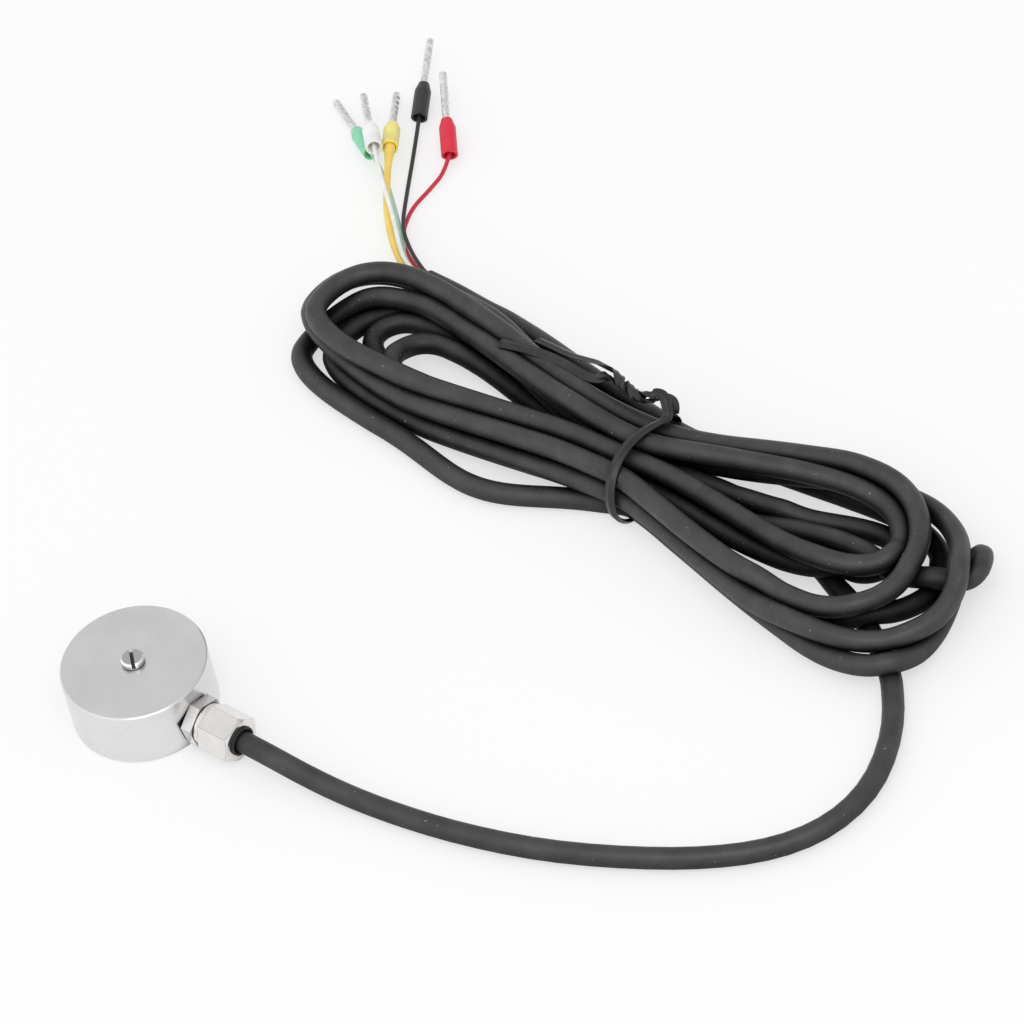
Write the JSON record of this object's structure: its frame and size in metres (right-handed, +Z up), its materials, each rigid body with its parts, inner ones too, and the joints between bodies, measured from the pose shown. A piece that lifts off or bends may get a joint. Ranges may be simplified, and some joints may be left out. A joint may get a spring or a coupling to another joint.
{
  "type": "tension compression force sensor",
  "caption": "Flat round strain-gauge force sensor with a slotted load button, side cable gland and a tied hank of cable ending in wires with crimped ferrules.",
  "frame": {"origin": "centre of the sensor's base, at the mouth of the fixing thread", "axes": "+Z up the load axis towards the load button, +X out along the cable gland"},
  "size_m": [0.144, 0.1259, 0.0107],
  "materials": {
    "body_steel": "polished",
    "screw_steel": "turned",
    "gauge_film": "foil on film",
    "board": "lacquered",
    "gland_metal": "nickel plated",
    "seal_rubber": "matt",
    "cable_jacket": "matt",
    "tie_plastic": "ribbed",
    "wire_black": "satin",
    "wire_red": "satin",
    "wire_yellow": "satin",
    "wire_white": "satin",
    "wire_green": "satin",
    "sleeve_black": "moulded",
    "sleeve_red": "moulded",
    "sleeve_yellow": "moulded, translucent",
    "sleeve_white": "moulded, translucent",
    "sleeve_green": "moulded, translucent",
    "pin_metal": "tinned"
  },
  "bodies": {
    "root": {"sensor_body": "body_steel", "base_cover": "body_steel", "load_screw": "screw_steel", "strain_gauges": "gauge_film", "terminal_board": "board", "gland_body": "gland_metal", "gland_nut": "gland_metal", "gland_seal": "seal_rubber", "cable_entry": "cable_jacket", "cable_lead": "cable_jacket", "cable_hank": "cable_jacket", "twist_tie": "tie_plastic", "wire_black": "wire_black", "wire_red": "wire_red", "wire_yellow": "wire_yellow", "wire_white": "wire_white", "wire_green": "wire_green", "ferrule_sleeve_black": "sleeve_black", "ferrule_sleeve_red": "sleeve_red", "ferrule_sleeve_yellow": "sleeve_yellow", "ferrule_sleeve_white": "sleeve_white", "ferrule_sleeve_green": "sleeve_green", "ferrule_pin_black": "pin_metal", "ferrule_pin_red": "pin_metal", "ferrule_pin_yellow": "pin_metal", "ferrule_pin_white": "pin_metal", "ferrule_pin_green": "pin_metal"}
  },
  "joints": []
}
